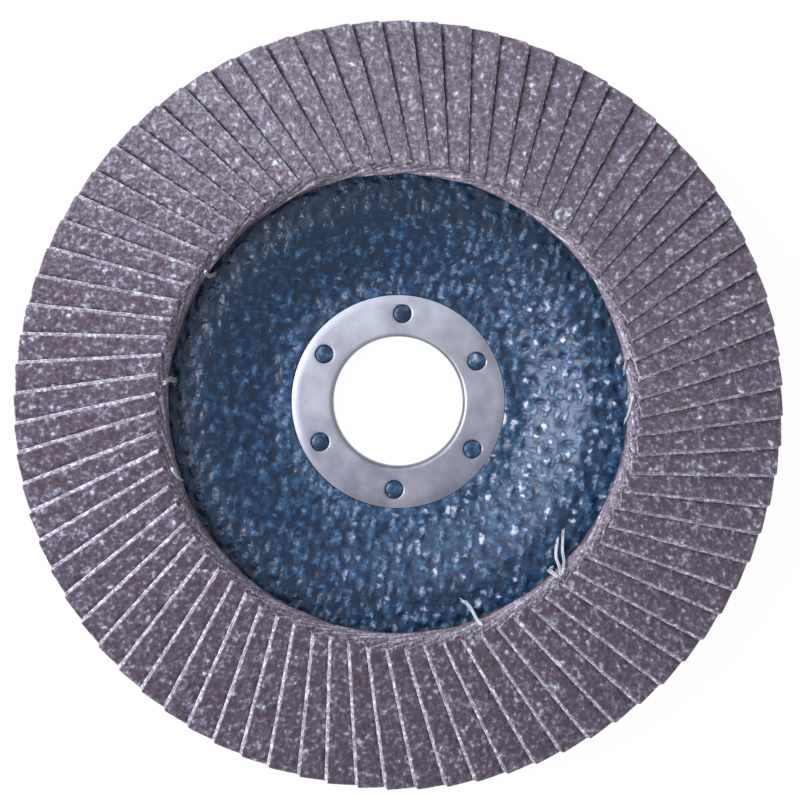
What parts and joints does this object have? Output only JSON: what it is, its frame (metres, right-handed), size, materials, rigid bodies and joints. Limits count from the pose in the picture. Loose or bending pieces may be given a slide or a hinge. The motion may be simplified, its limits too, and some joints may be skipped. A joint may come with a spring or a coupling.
{
  "type": "flap disc",
  "caption": "Round grinding disc of overlapping abrasive cloth flaps on a recessed resin plate, with a steel ring round its arbor bore.",
  "frame": {"origin": "on the axis of the arbor bore, level with the back face of the hub, on which the disc lies", "axes": "+Z along the bore axis, towards the abrasive face; +Y is the top of the picture"},
  "size_m": [0.127, 0.127, 0.0143],
  "materials": {
    "resin_plate": "glossy",
    "ring_steel": "satin",
    "bed_adhesive": "matt",
    "abrasive_cloth": "gritty"
  },
  "bodies": {
    "root": {"backing_plate": "resin_plate", "centre_ring": "ring_steel", "adhesive_bed": "bed_adhesive", "flap_pair_01": "abrasive_cloth", "flap_pair_02": "abrasive_cloth", "flap_pair_03": "abrasive_cloth", "flap_pair_04": "abrasive_cloth", "flap_pair_05": "abrasive_cloth", "flap_pair_06": "abrasive_cloth", "flap_pair_07": "abrasive_cloth", "flap_pair_08": "abrasive_cloth", "flap_pair_09": "abrasive_cloth", "flap_pair_10": "abrasive_cloth", "flap_pair_11": "abrasive_cloth", "flap_pair_12": "abrasive_cloth", "flap_pair_13": "abrasive_cloth", "flap_pair_14": "abrasive_cloth", "flap_pair_15": "abrasive_cloth", "flap_pair_16": "abrasive_cloth", "flap_pair_17": "abrasive_cloth", "flap_pair_18": "abrasive_cloth", "flap_pair_19": "abrasive_cloth", "flap_pair_20": "abrasive_cloth", "flap_pair_21": "abrasive_cloth", "flap_pair_22": "abrasive_cloth", "flap_pair_23": "abrasive_cloth", "flap_pair_24": "abrasive_cloth", "flap_pair_25": "abrasive_cloth", "flap_pair_26": "abrasive_cloth", "flap_pair_27": "abrasive_cloth", "flap_pair_28": "abrasive_cloth", "flap_pair_29": "abrasive_cloth", "flap_pair_30": "abrasive_cloth", "flap_pair_31": "abrasive_cloth", "flap_pair_32": "abrasive_cloth", "flap_pair_33": "abrasive_cloth", "flap_pair_34": "abrasive_cloth", "flap_pair_35": "abrasive_cloth", "flap_pair_36": "abrasive_cloth", "flap_pair_37": "abrasive_cloth", "flap_pair_38": "abrasive_cloth", "flap_pair_39": "abrasive_cloth", "flap_pair_40": "abrasive_cloth"}
  },
  "joints": []
}
